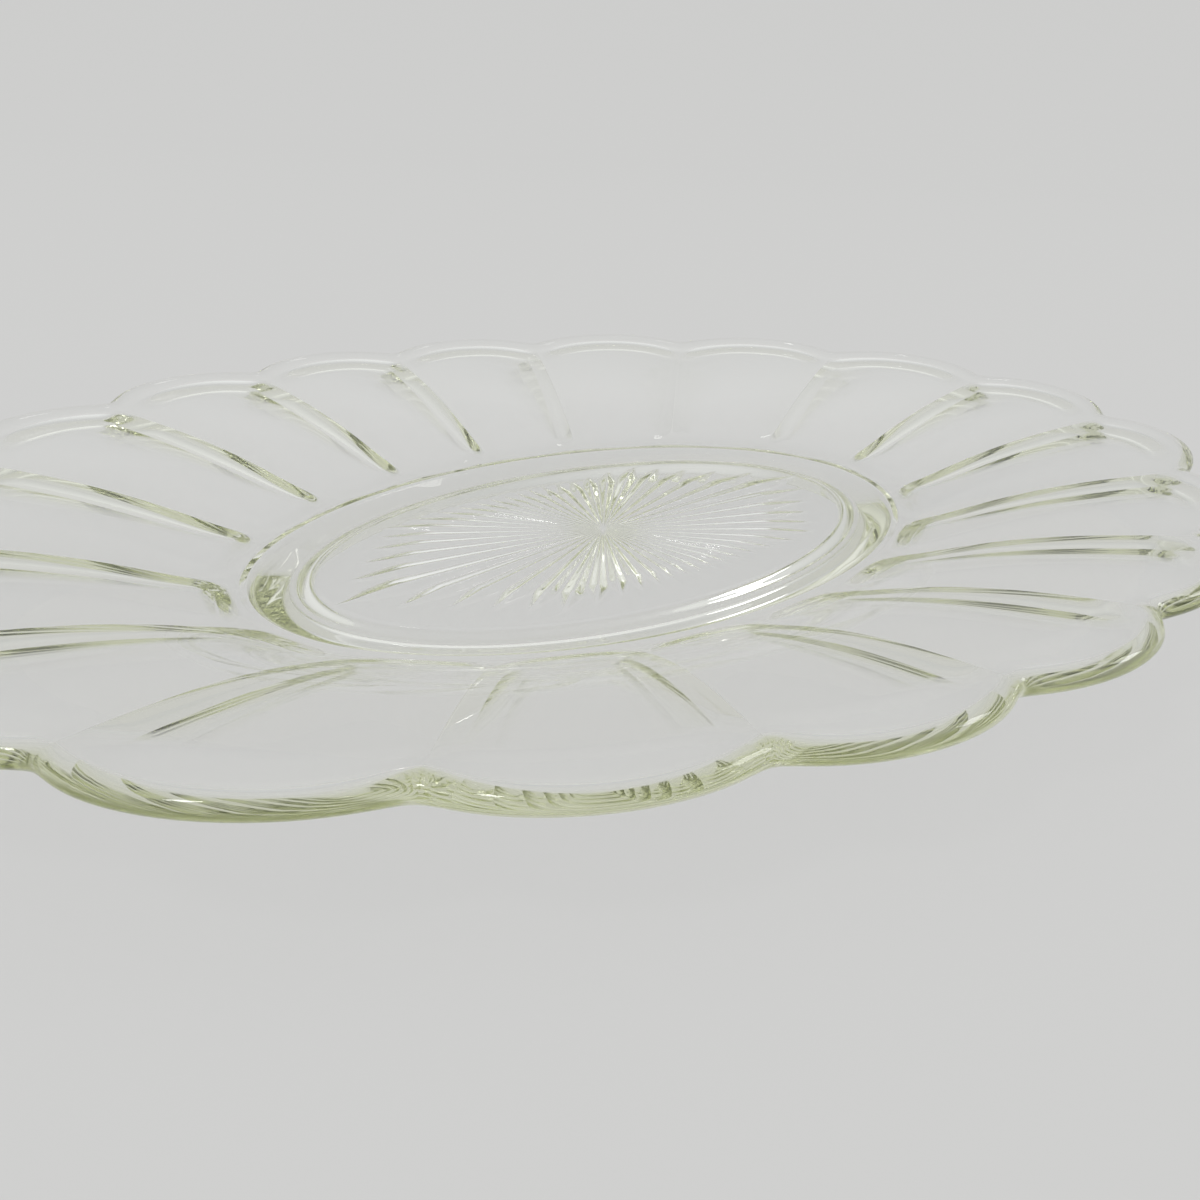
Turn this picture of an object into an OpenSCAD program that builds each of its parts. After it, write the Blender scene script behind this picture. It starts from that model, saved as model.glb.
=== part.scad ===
// Oval serving platter of clear pressed glass
// One pressing: a plain smooth top, a scalloped rim with a hollow under each panel and a rib between
// two hollows, a flat well, a foot ring to stand on, and a rayed star sunk into the well's underside.
// Millimetres, +Z up, X along the length. The origin is the middle of the plane it stands on.

/* [Outline] */
// Length of the oval that the scallops reach
oval_length = 337; // [300:1:380]
// Width of that oval
oval_width = 255; // [235:1:285]
// Number of scalloped panels round the rim
panels = 18; // [12:2:24]
// How far the notches between the scallops are cut in
scallop_depth = 6.5; // [2:0.5:9]
// Rounding of the notches, as a share of half a panel
notch_round = 0.15; // [0.02:0.01:0.3]
// Swing of the ribs towards the short axis that makes the panels alike in width, in degrees
rib_swing = 4.9; // [0:0.1:6]

/* [Rim] */
// Width of the rim, from the ring at which it rises out to the notches
rim_width = 59; // [50:1:66]
// Rise of the rim's top, from the ring to the notches
rim_rise = 16.5; // [12:0.5:24]
// Slope of the rim's top at its edge
edge_slope = 0.14; // [0:0.01:0.2]
// Length of the hollow curve between the well and the rim
cove = 8; // [4:1:12]
// Thickness of the glass of the rim at the ribs
wall = 5.6; // [5:0.1:6.5]
// How far the rounding of the edge reaches in
edge_round = 4.2; // [2:0.1:6]

/* [Hollows and ribs] */
// Depth of the hollow under each panel
hollow_depth = 1.5; // [0.5:0.1:2.2]
// Distance of the hollows from the groove round the foot
hollow_gap = 0.8; // [0.5:0.1:4]
// How far the inner end of a hollow is rounded back beside the ribs
hollow_end = 8; // [2:0.5:12]
// Length over which a hollow deepens from its inner end
hollow_run = 5; // [3:0.5:12]
// Share of its depth that a hollow loses at the edge
hollow_fade = 0.85; // [0:0.05:1]
// Length over which it loses that share
fade_run = 10; // [6:1:20]
// Half the width of a rib at its inner end
rib_start = 3.5; // [2:0.5:7]
// Half the width of a rib at the edge
rib_end = 22; // [12:0.5:24]

/* [Well] */
// How much farther the well reaches along the platter than across it
well_stretch = 32; // [20:1:41]
// Thickness of the glass of the well's floor
floor_thickness = 4.3; // [3.5:0.1:5.5]

/* [Foot] */
// Distance of the foot from the ring at which the rim rises
foot_inset = 15.5; // [14:0.5:18]
// Width of the flat face that the platter stands on
foot_width = 1.5; // [1:0.5:3]
// Width of the bevel that rises outwards from that face
foot_bevel = 7.7; // [6:0.1:9]
// Depth of the groove round the bevel, in the underside of the rim
groove_depth = 0.5; // [0.2:0.1:0.8]
// Width of the groove's outer side
groove_side = 1.6; // [0.8:0.1:3]
// Width of the slope from that face in to the underside of the well
foot_slope = 3.5; // [2:0.5:5]
// Height of the underside of the well above the foot
foot_height = 5; // [4:0.1:6]

/* [Star] */
// Number of rays
star_rays = 48; // [24:4:60]
// Gap between the tips of the star and the slope of the foot
star_end_gap = 2; // [1:0.5:20]
// Gap between the sides of the star and the slope of the foot
star_side_gap = 10.5; // [4:0.5:14]
// Share of the star's length that its straight sides take
star_side = 0.53; // [0.3:0.01:0.7]
// Steepness of the sides of a ray
ray_steepness = 0.5; // [0.2:0.02:0.6]
// Share of the space between two rays that is cut away
ray_fill = 0.9; // [0.6:0.02:0.94]
// Place of a ray's deepest point, as a share of its length
ray_peak = 0.8; // [0.6:0.05:0.9]

/* [Hidden] */

// Steps of the surfaces
panel_columns = 10;
cove_steps = 2;
rim_steps = 7;
edge_steps = 6;
hollow_steps = 5;
slope_steps = 4;

// Radii are measured along the short axis
notch_r = oval_width / 2 - scallop_depth;
ring_r = notch_r - rim_width;
foot_outer = ring_r - foot_inset;
foot_inner = foot_outer - foot_width;
bevel_r = foot_outer + foot_bevel;
groove_r = bevel_r + groove_side;
under_r = foot_inner - foot_slope;
hollow_r = groove_r + hollow_gap;
floor_height = foot_height + floor_thickness;

// The long axis is longer by the stretch, which grows from the well's to the edge's
edge_stretch = (oval_length - oval_width) / 2;
function stretch(r) =
    well_stretch + (edge_stretch - well_stretch) * max(0, (r - foot_outer) / (notch_r - foot_outer));

// Depth to which the star's tools reach below the glass, and the width of a ray's bottom
cut_over = 0.2;
keel = 0.1;

function steps(n) = [for (i = [1:n]) i / n];
function ease(x) = let (c = min(1, max(0, x))) c * c * (3 - 2 * c);

// A column runs from the middle out to the edge: its bearing, and its place across the panel
// from -1 at one rib to 1 at the next, with closer columns near the ribs
function bearing(turn) = turn + rib_swing * sin(2 * turn);
columns = [
    for (p = [0:panels - 1], j = [0:panel_columns - 1])
        let (across = -cos(180 * j / panel_columns))
        [bearing((p + (across + 1) / 2) * 360 / panels), across]
];
function place(column, r, z) = [(r + stretch(r)) * cos(column[0]), r * sin(column[0]), z];

// The scalloped outline, and where its rounding starts
function scallop(aside) = sqrt(1 - pow(1 - norm([aside, notch_round]), 2));
function edge_r(column) =
    let (
        low = scallop(0),
        aside = (1 - abs(column[1])) * sqrt(1 - notch_round * notch_round)
    )
    notch_r + scallop_depth * (scallop(aside) - low) / (1 - low);
function shoulder_r(column) = edge_r(column) - edge_round;

// Top, by the radius: flat over the well, steep above the cove, then easing off towards the edge
function out_from_ring(r) = (r - ring_r + sqrt(pow(r - ring_r, 2) + cove * cove)) / 2;
function rim_curve(u) =
    edge_slope * u + (rim_rise - edge_slope * rim_width) * (1 - pow(1 - min(1, u / rim_width), 3));
function top_z(r) = floor_height + rim_curve(out_from_ring(r)) - rim_curve(out_from_ring(foot_inner));

// Underside of the rim: the hollows have round inner ends and ease out towards the edge,
// and the ribs left between them widen outwards
function hollow_start(column) = hollow_r + hollow_end * (1 - sqrt(1 - column[1] * column[1]));
function hollow_full(column) = hollow_start(column) + hollow_run;
function fade_r(column) = shoulder_r(column) - fade_run;
function rib_half(r) =
    let (inward = min(1, max(0, (notch_r - r) / (notch_r - hollow_r))))
    rib_end - (rib_end - rib_start) * inward * inward;
function rib_share(column, r) =
    let (aside = (1 - abs(column[1])) * PI * (r + stretch(r) / 2) / panels)
    pow(max(0, 1 - aside / rib_half(r)), 2);
function hollow_z(column, r) =
    hollow_depth
    * ease((r - hollow_start(column)) / hollow_run)
    * (1 - hollow_fade * ease((r - fade_r(column)) / fade_run))
    * (1 - rib_share(column, r));
function under_z(column, r) = top_z(r) - wall + hollow_z(column, r);

// The glass from the well's floor over the rim, round the edge and back under to the foot
top_rings = concat(
    [[for (c = columns) place(c, foot_inner, floor_height)]],
    [
        for (f = steps(cove_steps))
            let (r = foot_inner + f * (ring_r - foot_inner))
            [for (c = columns) place(c, r, top_z(r))]
    ],
    [
        for (f = steps(rim_steps))
            [for (c = columns) let (r = ring_r + f * (shoulder_r(c) - ring_r)) place(c, r, top_z(r))]
    ]
);
edge_rings = [
    for (i = [1:edge_steps - 1])
        let (turn = 90 - 180 * i / edge_steps)
        [
            for (c = columns)
                let (
                    r = shoulder_r(c),
                    middle = (top_z(r) + under_z(c, r)) / 2,
                    half = (top_z(r) - under_z(c, r)) / 2,
                    out = edge_round * cos(turn)
                )
                place(c, r + out, middle + half * sin(turn) + edge_slope * out)
        ]
];
under_rings = concat(
    [
        for (f = [1, 0.5])
            [for (c = columns) let (r = fade_r(c) + f * fade_run) place(c, r, under_z(c, r))]
    ],
    [
        for (i = [0:hollow_steps - 1])
            let (f = 1 - i / hollow_steps)
            [
                for (c = columns)
                    let (r = hollow_full(c) + f * (fade_r(c) - hollow_full(c)))
                    place(c, r, under_z(c, r))
            ]
    ],
    [
        for (f = [1, 0.5, 0])
            [for (c = columns) let (r = hollow_start(c) + f * hollow_run) place(c, r, under_z(c, r))]
    ]
);
foot_rings = concat(
    [[for (c = columns) place(c, groove_r, top_z(groove_r) - wall)]],
    [[for (c = columns) place(c, bevel_r, top_z(bevel_r) - wall + groove_depth)]],
    [for (r = [foot_outer, foot_inner]) [for (c = columns) place(c, r, 0)]],
    [
        for (f = steps(slope_steps))
            [for (c = columns) place(c, foot_inner - f * foot_slope, foot_height * ease(f))]
    ]
);

// Skins a stack of rings and closes its first and last ring
module loft(rings) {
    n = len(rings[0]);
    last = len(rings) - 1;
    first_cap = [for (j = [n - 1:-1:0]) j];
    last_cap = [for (j = [0:n - 1]) last * n + j];
    sides = [
        for (i = [0:last - 1], j = [0:n - 1])
            let (a = i * n + j, b = i * n + (j + 1) % n)
            each [[a, b, b + n], [a, b + n, a + n]]
    ];
    polyhedron(points = [for (ring = rings) each ring], faces = concat([first_cap], sides, [last_cap]));
}

// How far the star reaches on a bearing: pointed at both ends of the platter, straight along its sides
function star_reach(turn) =
    let (
        half_length = under_r + well_stretch - star_end_gap,
        half_width = under_r - star_side_gap,
        point = (1 - star_side) / half_width
    )
    1 / max(abs(cos(turn)) / half_length + abs(sin(turn)) * point, abs(sin(turn)) / half_width);

// One ray: a leaf in plan, with its bottom deepest where it is widest
module ray(reach) {
    half = ray_fill * ray_peak * reach * tan(180 / star_rays);
    deep = half * ray_steepness;
    spread = 1 + cut_over / deep;
    peak = ray_peak * reach;
    hull() {
        translate([0, 0, -cut_over])
            linear_extrude(height = cut_over)
                polygon([[0, 0], [peak, half * spread], [reach, 0], [peak, -half * spread]]);
        linear_extrude(height = deep)
            polygon([[peak - keel, 0], [peak, keel / 2], [peak + keel, 0], [peak, -keel / 2]]);
    }
}

module star() {
    for (i = [0:star_rays - 1])
        let (turn = i * 360 / star_rays)
        translate([0, 0, foot_height])
            rotate(turn)
                ray(star_reach(turn));
}

module platter() {
    color([0.86, 0.89, 0.80, 0.45])
        difference() {
            loft(concat(top_rings, edge_rings, under_rings, foot_rings));
            star();
        }
}

platter();
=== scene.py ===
import math

import bpy
import numpy as np
from mathutils import Matrix, Vector


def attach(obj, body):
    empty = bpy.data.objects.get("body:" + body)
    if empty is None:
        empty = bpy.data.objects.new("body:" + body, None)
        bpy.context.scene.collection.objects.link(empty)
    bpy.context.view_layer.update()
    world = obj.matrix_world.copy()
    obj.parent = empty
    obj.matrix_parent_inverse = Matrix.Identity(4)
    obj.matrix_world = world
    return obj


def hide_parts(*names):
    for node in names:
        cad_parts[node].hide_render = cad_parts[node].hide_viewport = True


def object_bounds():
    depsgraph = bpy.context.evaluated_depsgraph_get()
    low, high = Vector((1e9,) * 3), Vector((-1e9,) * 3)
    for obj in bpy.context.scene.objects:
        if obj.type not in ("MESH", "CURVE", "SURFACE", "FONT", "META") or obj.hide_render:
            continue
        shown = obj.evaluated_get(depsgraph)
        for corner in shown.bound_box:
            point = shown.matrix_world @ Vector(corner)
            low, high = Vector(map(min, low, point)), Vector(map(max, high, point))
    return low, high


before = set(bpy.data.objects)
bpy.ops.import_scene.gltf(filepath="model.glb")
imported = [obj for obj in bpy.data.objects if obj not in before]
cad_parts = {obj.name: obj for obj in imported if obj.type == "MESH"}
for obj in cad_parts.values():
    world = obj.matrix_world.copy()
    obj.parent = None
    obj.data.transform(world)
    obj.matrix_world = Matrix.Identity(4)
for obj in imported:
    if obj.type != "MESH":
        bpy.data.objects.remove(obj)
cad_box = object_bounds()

# Lengths below are millimetres unless a name says otherwise; the scene is in metres
MM = 0.001

# Outline of the platter
OVAL_LENGTH = 337.0
OVAL_WIDTH = 255.0
PANELS = 18
SCALLOP_DEPTH = 6.5
NOTCH_ROUND = 0.15
RIB_SWING = math.radians(4.9)

# Rim
RIM_WIDTH = 59.0
RIM_RISE = 16.5
EDGE_SLOPE = 0.14
COVE = 8.0
WALL = 5.6
EDGE_ROUND = 4.2

# Hollows under the rim, one to a panel, and the ribs left between them
HOLLOW_DEPTH = 1.5
HOLLOW_START = 56.6
HOLLOW_END = 8.0
HOLLOW_RUN = 5.0
HOLLOW_FADE = 0.85
FADE_RUN = 10.0
RIB_START = 3.5
RIB_END = 22.0

# Well
WELL_STRETCH = 32.0
FLOOR_HEIGHT = 9.3

# Foot ring
FOOT_OUTER = 46.5
FOOT_INNER = 45.0
FOOT_BEVEL = 7.7
GROOVE_DEPTH = 0.5
GROOVE_SIDE = 1.6
FOOT_SLOPE = 3.5
FOOT_HEIGHT = 5.0

# Star in the underside of the well
STAR_RAYS = 48
STAR_LENGTH = 143.0
STAR_WIDTH = 62.0
STAR_SIDE = 76.0
RAY_STEEPNESS = 0.65
RAY_FILL = 0.94
RAY_ROUND = 0.15
RAY_PEAK = 0.8

# Glass, and the faint waves that pressing leaves in its surface, with their depth in metres
GLASS_IOR = 1.52
WAVE_SCALE = 45.0
WAVE_DETAIL = 1.0
WAVE_STRENGTH = 0.1
WAVE_DEPTH = 0.0005

# Tint of the glass, and how fast it builds up along a path through it
TINT = (0.71, 0.75, 0.36)
TINT_DENSITY = 7.2

# Dull face of the foot: its roughness, and the height in metres at which it ends
WEAR = 0.2
WEAR_HEIGHT = 0.0002

# Columns round the platter: whole numbers of them fall on every rib and on every ray
PANEL_COLUMNS = 32
COLUMNS = PANELS * PANEL_COLUMNS
RAY_COLUMNS = COLUMNS // STAR_RAYS

# Rings of the mesh: radii over the well, counts, and places across the narrow faces, closer at their ends
WELL_RINGS = (12.0, 24.0, 34.0, 41.0)
COVE_RINGS = 11
RIM_RINGS = 27
EDGE_RINGS = 18
UNDER_RINGS = 37
GROOVE_PLACES = (0.93, 0.8, 0.5, 0.2, 0.07)
BEVEL_RINGS = 6
BEVEL_FROM, BEVEL_TO = 0.97, 0.03
BEVEL_END = 0.01
SLOPE_RINGS = 10
STAR_RINGS = 49
STAR_INNER = 0.08
STAR_MIDDLE = (0.05, 0.025)
STAR_BLEND = 0.12

# Radii are measured along the short axis; the long axis is longer by the stretch
EDGE_STRETCH = (OVAL_LENGTH - OVAL_WIDTH) / 2
NOTCH_R = OVAL_WIDTH / 2 - SCALLOP_DEPTH
RING_R = NOTCH_R - RIM_WIDTH

# Camera, fitted to the outline and the ribs in the photograph
CAMERA_AZIMUTH = math.radians(-44.33)
CAMERA_ELEVATION = math.radians(23.23)
CAMERA_DISTANCE = 269.9
CAMERA_TARGET = (-20.2, -20.9, 2.6)
CAMERA_ROLL = math.radians(2.95)
CAMERA_LENS = 37.74
CAMERA_SENSOR = 36.0
CAMERA_CLIP = 0.01

# Floor that sweeps up into a backdrop behind the platter, in metres
FLOOR_DROP = 0.00005
FLOOR_HALF = 4.0
SWEEP_START = 1.2
SWEEP_RADIUS = 0.4
SWEEP_HEIGHT = 0.5
SWEEP_STEPS = 16

# Cloth of the floor: the share of its level that is its own, while the rest takes the shadows
CLOTH = (0.635, 0.635, 0.627, 1.0)
CLOTH_OWN = 0.87
CLOTH_ROUGHNESS = 0.9
CLOTH_SHEEN = 0.1

# Sky: its level near the horizon and overhead, and the heights of the directions where they start
SKY = (0.98, 0.99, 1.0)
SKY_LOW = 0.58
SKY_HIGH = 0.92
SKY_LOW_UP_TO = 0.25
SKY_HIGH_FROM = 0.85

# Lamps, seen from the camera: how far away, to the right and up, width and height in metres, and watts
LAMPS = {
    "glint": ((-0.75, -0.52, 1.18), (0.25, 0.25), 2.5),
    "window": ((0.3, 1.35, 0.85), (0.5, 0.4), 2.2),
}

# Bounces of light that thick glass needs
BOUNCES = 32


def ease(x):
    c = np.clip(x, 0.0, 1.0)
    return c * c * (3 - 2 * c)


def steps(count, start=0.0, end=1.0):
    """Even steps after start, up to and with end."""
    return np.linspace(start, end, count + 1)[1:]


# Each column's place across its panel, from -1 at one rib to 1 at the next, and its bearing
across = np.tile(-np.cos(np.pi * np.arange(PANEL_COLUMNS) / PANEL_COLUMNS), PANELS)
turn = (np.repeat(np.arange(PANELS), PANEL_COLUMNS) + (across + 1) / 2) * 2 * np.pi / PANELS
bearing = turn + RIB_SWING * np.sin(2 * turn)

# The same columns spread evenly round the star, and their place across a ray, from -1 to 1
star_turn = np.arange(COLUMNS) * 2 * np.pi / COLUMNS
across_ray = ((np.arange(COLUMNS) + RAY_COLUMNS / 2) % RAY_COLUMNS) / (RAY_COLUMNS / 2) - 1


def scallop(aside):
    """How far a scallop stands out, up to 1, at a distance from the rib, as a share of half a panel."""
    near = np.hypot(aside * math.sqrt(1 - NOTCH_ROUND ** 2), NOTCH_ROUND)
    return np.sqrt(1 - np.minimum(1.0, 1 - near) ** 2)


lowest = scallop(0.0)
edge_r = NOTCH_R + SCALLOP_DEPTH * (scallop(1 - np.abs(across)) - lowest) / (1 - lowest)
shoulder_r = edge_r - EDGE_ROUND


def stretch(r):
    beyond = np.clip((r - FOOT_OUTER) / (NOTCH_R - FOOT_OUTER), 0.0, None)
    return WELL_STRETCH + (EDGE_STRETCH - WELL_STRETCH) * beyond


def ring(r, z):
    """A ring of points at radius r and height z, one point a column."""
    r = np.broadcast_to(r, (COLUMNS,))
    z = np.broadcast_to(z, (COLUMNS,))
    return np.stack([(r + stretch(r)) * np.cos(bearing), r * np.sin(bearing), z], axis=-1)


def rim_curve(u):
    rise = (RIM_RISE - EDGE_SLOPE * RIM_WIDTH) * (1 - (1 - np.minimum(1.0, u / RIM_WIDTH)) ** 3)
    return EDGE_SLOPE * u + rise


def out_from_ring(r):
    return (r - RING_R + np.sqrt((r - RING_R) ** 2 + COVE * COVE)) / 2


def top_z(r):
    return FLOOR_HEIGHT + rim_curve(out_from_ring(r)) - rim_curve(out_from_ring(FOOT_INNER))


def hollow(r):
    """Depth of the hollows: round at the inner end, and easing out towards the edge."""
    start = HOLLOW_START + HOLLOW_END * (1 - np.sqrt(1 - across * across))
    aside = (1 - np.abs(across)) * np.pi * (r + stretch(r) / 2) / PANELS
    inward = np.clip((NOTCH_R - r) / (NOTCH_R - HOLLOW_START), 0.0, 1.0)
    rib = np.clip(1 - aside / (RIB_END - (RIB_END - RIB_START) * inward ** 2), 0.0, 1.0) ** 2
    fade = 1 - HOLLOW_FADE * ease((r - shoulder_r + FADE_RUN) / FADE_RUN)
    return HOLLOW_DEPTH * ease((r - start) / HOLLOW_RUN) * fade * (1 - rib)


def under_z(r):
    return top_z(r) - WALL + hollow(r)


def top_rings():
    """From the middle of the well out along the rim."""
    rings = [ring(r, FLOOR_HEIGHT) for r in WELL_RINGS]
    for r in np.linspace(FOOT_INNER, RING_R, COVE_RINGS):
        rings.append(ring(r, top_z(r)))
    for f in steps(RIM_RINGS):
        r = RING_R + f * (shoulder_r - RING_R)
        rings.append(ring(r, top_z(r)))
    return rings


def edge_rings():
    """Round the edge, from the top to the underside."""
    top, under = top_z(shoulder_r), under_z(shoulder_r)
    rings = []
    for angle in np.linspace(math.pi / 2, -math.pi / 2, EDGE_RINGS + 2)[1:-1]:
        out = EDGE_ROUND * math.cos(angle)
        z = (top + under) / 2 + (top - under) / 2 * math.sin(angle) + EDGE_SLOPE * out
        rings.append(ring(shoulder_r + out, z))
    return rings


def under_rings():
    """Back under the rim to the groove, down the foot's bevel and up to the underside of the well."""
    rings = []
    bevel = FOOT_OUTER + FOOT_BEVEL
    start = bevel + GROOVE_SIDE
    for f in np.linspace(1, 0, UNDER_RINGS):
        r = start + f * (shoulder_r - start)
        rings.append(ring(r, under_z(r)))
    low, high = top_z(start) - WALL, top_z(bevel) - WALL + GROOVE_DEPTH
    for f in GROOVE_PLACES:
        rings.append(ring(bevel + GROOVE_SIDE * f, high + (low - high) * f))
    for f in (1 - BEVEL_END, *steps(BEVEL_RINGS, BEVEL_FROM, BEVEL_TO), BEVEL_END, 0.0):
        rings.append(ring(FOOT_OUTER + FOOT_BEVEL * f, high * f))
    for f in np.linspace(0, 1, SLOPE_RINGS):
        rings.append(ring(FOOT_INNER - FOOT_SLOPE * f, FOOT_HEIGHT * ease(f)))
    return rings


def star_reach(angle):
    """How far the star reaches on a bearing: pointed along the platter, straight along its sides."""
    half_length, half_width = STAR_LENGTH / 2, STAR_WIDTH / 2
    point = (1 - STAR_SIDE / STAR_LENGTH) / half_width
    along, aside = np.abs(np.cos(angle)), np.abs(np.sin(angle))
    return 1 / np.maximum(along / half_length + aside * point, aside / half_width)


def ray_depth(radius, reach):
    """Depth of the star's rays at each column: V-shaped, deepest at the peak, pointed at the tip."""
    half_step = math.pi / STAR_RAYS
    peak = RAY_PEAK * reach
    widest = RAY_FILL * peak * math.tan(half_step)
    half = np.where(radius < peak, widest * radius / peak, widest * (reach - radius) / (reach - peak))
    aside = np.hypot(radius * np.tan(across_ray * half_step), RAY_ROUND)
    inside = half - aside
    return (inside + np.hypot(inside, RAY_ROUND)) / 2 * RAY_STEEPNESS


def star_rings():
    """The underside of the well, from its rim to near its middle, with the rays sunk into it."""
    inner = FOOT_INNER - FOOT_SLOPE
    ray = np.round(star_turn / (2 * np.pi / STAR_RAYS)) * 2 * np.pi / STAR_RAYS
    reach = star_reach(ray)
    rings = []
    for f in np.concatenate([steps(STAR_RINGS, 1.0, STAR_INNER), STAR_MIDDLE]):
        a, b = (inner + WELL_STRETCH) * f, inner * f
        even = np.unwrap(np.arctan2(np.sin(star_turn) / b, np.cos(star_turn) / a))
        angle = bearing + (even - bearing) * ease((1 - f) / STAR_BLEND)
        x, y = a * np.cos(angle), b * np.sin(angle)
        rings.append(np.stack([x, y, FOOT_HEIGHT + ray_depth(np.hypot(x, y), reach)], axis=-1))
    return rings


def skin(name, rings, middles):
    """A closed mesh over a stack of rings, with a point in the middle of the first and the last."""
    count = len(rings)
    index = np.arange(count * COLUMNS).reshape(count, COLUMNS)
    here, there = index[:-1], index[1:]
    after = np.roll(here, -1, axis=1), np.roll(there, -1, axis=1)
    quads = np.stack([here, there, after[1], after[0]], axis=-1).reshape(-1, 4)
    first, last = count * COLUMNS, count * COLUMNS + 1
    top_fan = [(first, int(a), int(b)) for a, b in zip(index[0], np.roll(index[0], -1))]
    end_fan = [(last, int(b), int(a)) for a, b in zip(index[-1], np.roll(index[-1], -1))]
    points = np.concatenate(rings + [np.array(middles)]) * MM
    # The finer mesh is held within the box of the CAD
    points *= np.minimum(1.0, np.subtract(cad_box[1], cad_box[0]) / np.ptp(points, axis=0))
    mesh = bpy.data.meshes.new(name)
    mesh.from_pydata(points.tolist(), [], quads.tolist() + top_fan + end_fan)
    mesh.shade_smooth()
    piece = bpy.data.objects.new(name, mesh)
    bpy.context.scene.collection.objects.link(piece)
    return piece


def link_wear(nodes, links, coords, roughness):
    """The face that the platter stands on is a little dull, the rest is fire-polished."""
    split = nodes.new("ShaderNodeSeparateXYZ")
    links.new(coords.outputs["Object"], split.inputs["Vector"])
    wear = nodes.new("ShaderNodeMapRange")
    wear.inputs["From Min"].default_value = 0.0
    wear.inputs["From Max"].default_value = WEAR_HEIGHT
    wear.inputs["To Min"].default_value = WEAR
    wear.inputs["To Max"].default_value = 0.0
    links.new(split.outputs["Z"], wear.inputs["Value"])
    links.new(wear.outputs["Result"], roughness)


def glass_material():
    material = bpy.data.materials.new("clear_glass")
    material.use_nodes = True
    nodes, links = material.node_tree.nodes, material.node_tree.links
    shader = nodes["Principled BSDF"]
    shader.inputs["Base Color"].default_value = (1.0, 1.0, 1.0, 1.0)
    shader.inputs["IOR"].default_value = GLASS_IOR
    shader.inputs["Transmission Weight"].default_value = 1.0
    coords = nodes.new("ShaderNodeTexCoord")
    waves = nodes.new("ShaderNodeTexNoise")
    waves.inputs["Scale"].default_value = WAVE_SCALE
    waves.inputs["Detail"].default_value = WAVE_DETAIL
    links.new(coords.outputs["Object"], waves.inputs["Vector"])
    bump = nodes.new("ShaderNodeBump")
    bump.inputs["Strength"].default_value = WAVE_STRENGTH
    bump.inputs["Distance"].default_value = WAVE_DEPTH
    links.new(waves.outputs["Fac"], bump.inputs["Height"])
    links.new(bump.outputs["Normal"], shader.inputs["Normal"])
    link_wear(nodes, links, coords, shader.inputs["Roughness"])
    tint = nodes.new("ShaderNodeVolumeAbsorption")
    tint.inputs["Color"].default_value = (*TINT, 1.0)
    tint.inputs["Density"].default_value = TINT_DENSITY
    links.new(tint.outputs["Volume"], nodes["Material Output"].inputs["Volume"])
    return material


def make_platter():
    middles = [(0.0, 0.0, FLOOR_HEIGHT), (0.0, 0.0, FOOT_HEIGHT)]
    rings = top_rings() + edge_rings() + under_rings() + star_rings()
    platter = skin("platter_glass", rings, middles)
    platter.data.materials.append(glass_material())
    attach(platter, "root")
    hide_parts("platter")


# Directions in plan, seen from the camera
AWAY = Vector((-math.sin(CAMERA_AZIMUTH), math.cos(CAMERA_AZIMUTH), 0.0))
RIGHT = Vector((AWAY.y, -AWAY.x, 0.0))
UP = Vector((0.0, 0.0, 1.0))


def make_camera():
    back = -AWAY * math.cos(CAMERA_ELEVATION) + UP * math.sin(CAMERA_ELEVATION)
    up = UP * math.cos(CAMERA_ELEVATION) + AWAY * math.sin(CAMERA_ELEVATION)
    side = RIGHT * math.cos(CAMERA_ROLL) + up * math.sin(CAMERA_ROLL)
    up = back.cross(side)
    camera = bpy.data.cameras.new("camera")
    camera.lens, camera.sensor_width = CAMERA_LENS, CAMERA_SENSOR
    camera.clip_start = CAMERA_CLIP
    holder = bpy.data.objects.new("camera", camera)
    place = (Vector(CAMERA_TARGET) + back * CAMERA_DISTANCE) * MM
    holder.matrix_world = Matrix([
        (side.x, up.x, back.x, place.x),
        (side.y, up.y, back.y, place.y),
        (side.z, up.z, back.z, place.z),
        (0.0, 0.0, 0.0, 1.0),
    ])
    bpy.context.scene.collection.objects.link(holder)
    bpy.context.scene.camera = holder


def floor_material():
    """Cloth that shows mostly its own level, both directly and through the glass."""
    material = bpy.data.materials.new("floor")
    material.use_nodes = True
    nodes, links = material.node_tree.nodes, material.node_tree.links
    shader = nodes["Principled BSDF"]
    shader.inputs["Base Color"].default_value = CLOTH
    shader.inputs["Roughness"].default_value = CLOTH_ROUGHNESS
    shader.inputs["Specular IOR Level"].default_value = CLOTH_SHEEN
    own = nodes.new("ShaderNodeEmission")
    own.inputs["Color"].default_value = CLOTH
    path = nodes.new("ShaderNodeLightPath")
    seen = nodes.new("ShaderNodeMath")
    seen.operation = "MAXIMUM"
    links.new(path.outputs["Is Camera Ray"], seen.inputs[0])
    glass = nodes.new("ShaderNodeMath")
    glass.operation = "MAXIMUM"
    links.new(path.outputs["Is Glossy Ray"], glass.inputs[0])
    links.new(path.outputs["Is Transmission Ray"], glass.inputs[1])
    links.new(glass.outputs[0], seen.inputs[1])
    share = nodes.new("ShaderNodeMath")
    share.operation = "MULTIPLY"
    share.inputs[1].default_value = CLOTH_OWN
    links.new(seen.outputs[0], share.inputs[0])
    mix = nodes.new("ShaderNodeMixShader")
    links.new(share.outputs[0], mix.inputs[0])
    links.new(shader.outputs[0], mix.inputs[1])
    links.new(own.outputs[0], mix.inputs[2])
    links.new(mix.outputs[0], nodes["Material Output"].inputs["Surface"])
    return material


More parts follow.
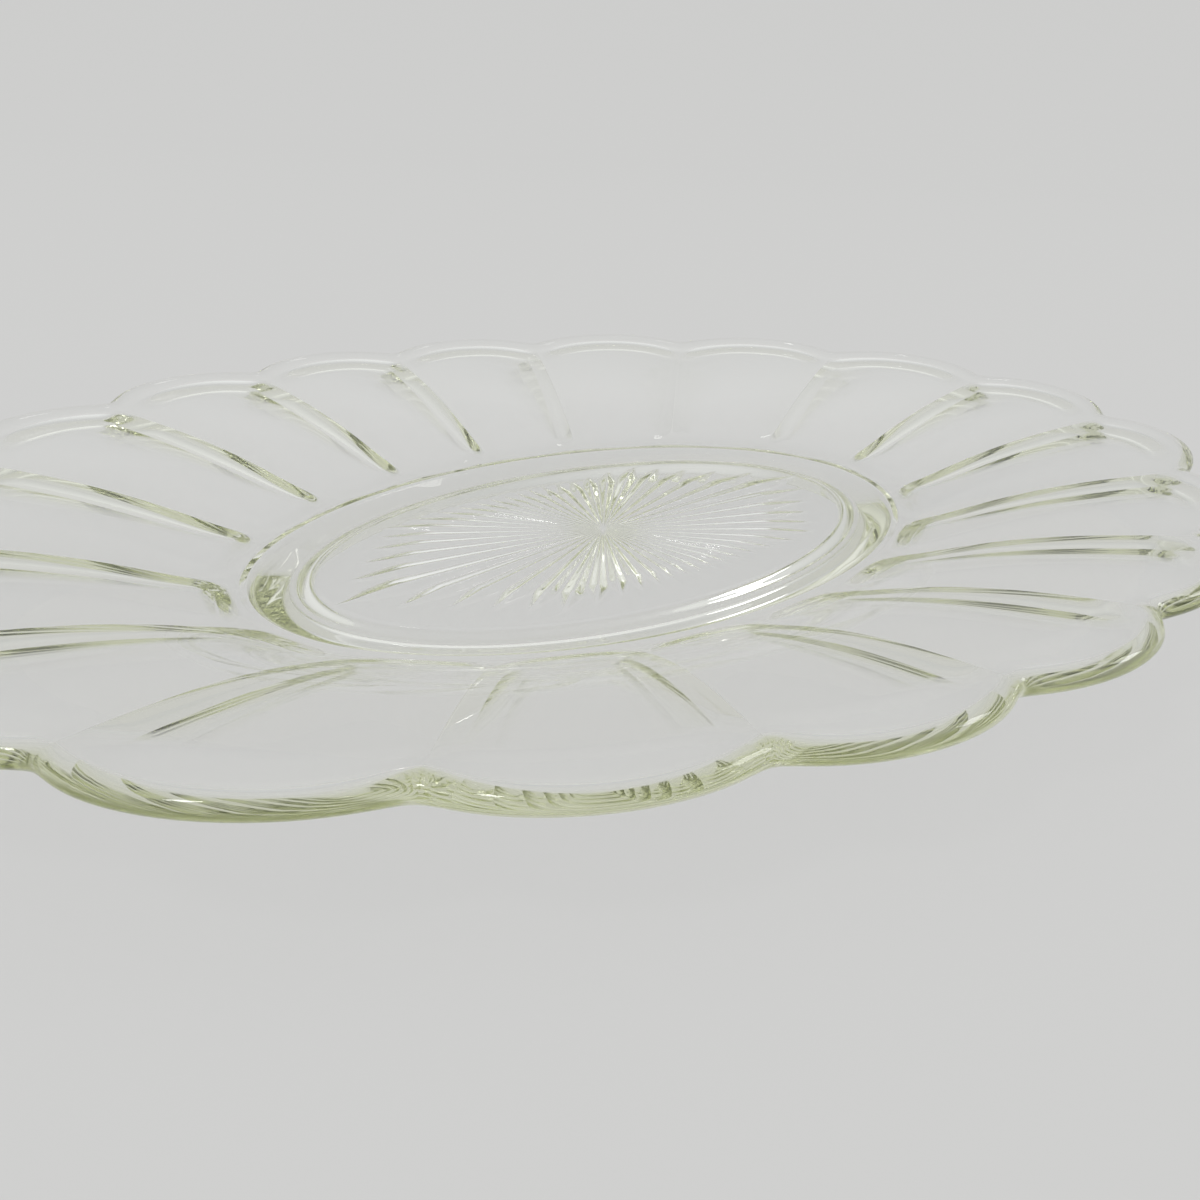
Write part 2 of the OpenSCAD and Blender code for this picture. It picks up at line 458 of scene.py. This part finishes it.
def make_floor():
    profile = [(-FLOOR_HALF, 0.0), (SWEEP_START, 0.0)]
    for angle in steps(SWEEP_STEPS, 0.0, math.pi / 2):
        profile.append((SWEEP_START + SWEEP_RADIUS * math.sin(angle), SWEEP_RADIUS * (1 - math.cos(angle))))
    profile.append((SWEEP_START + SWEEP_RADIUS, SWEEP_HEIGHT))
    points, faces = [], []
    for away, z in profile:
        for side in (-FLOOR_HALF, FLOOR_HALF):
            points.append(AWAY * away + RIGHT * side + UP * (z - FLOOR_DROP))
    for i in range(len(profile) - 1):
        faces.append((2 * i, 2 * i + 1, 2 * i + 3, 2 * i + 2))
    mesh = bpy.data.meshes.new("floor")
    mesh.from_pydata(points, [], faces)
    mesh.shade_smooth()
    mesh.materials.append(floor_material())
    floor = bpy.data.objects.new("floor", mesh)
    bpy.context.scene.collection.objects.link(floor)


def make_lamp(name, place, size, power):
    away, right, up = place
    light = bpy.data.lights.new(name, "AREA")
    light.shape = "RECTANGLE"
    light.size, light.size_y = size
    light.energy = power
    holder = bpy.data.objects.new(name, light)
    holder.location = AWAY * away + RIGHT * right + UP * up
    holder.rotation_euler = (-holder.location).to_track_quat("-Z", "Y").to_euler()
    bpy.context.scene.collection.objects.link(holder)


def make_sky():
    """A plain soft light from all round, a little brighter overhead."""
    world = bpy.data.worlds.new("studio")
    world.use_nodes = True
    nodes, links = world.node_tree.nodes, world.node_tree.links
    sky = nodes["Background"]
    sky.inputs["Color"].default_value = (*SKY, 1.0)
    coords = nodes.new("ShaderNodeTexCoord")
    split = nodes.new("ShaderNodeSeparateXYZ")
    links.new(coords.outputs["Generated"], split.inputs["Vector"])
    level = nodes.new("ShaderNodeMapRange")
    level.interpolation_type = "SMOOTHSTEP"
    level.inputs["From Min"].default_value = SKY_LOW_UP_TO
    level.inputs["From Max"].default_value = SKY_HIGH_FROM
    level.inputs["To Min"].default_value = SKY_LOW
    level.inputs["To Max"].default_value = SKY_HIGH
    links.new(split.outputs["Z"], level.inputs["Value"])
    links.new(level.outputs["Result"], sky.inputs["Strength"])
    bpy.context.scene.world = world


bpy.context.scene.view_settings.view_transform = "Standard"
bpy.context.scene.cycles.max_bounces = BOUNCES
bpy.context.scene.cycles.transmission_bounces = BOUNCES
bpy.context.scene.cycles.glossy_bounces = BOUNCES
make_camera()
make_floor()
make_sky()
for name, (place, size, power) in LAMPS.items():
    make_lamp(name, place, size, power)
make_platter()
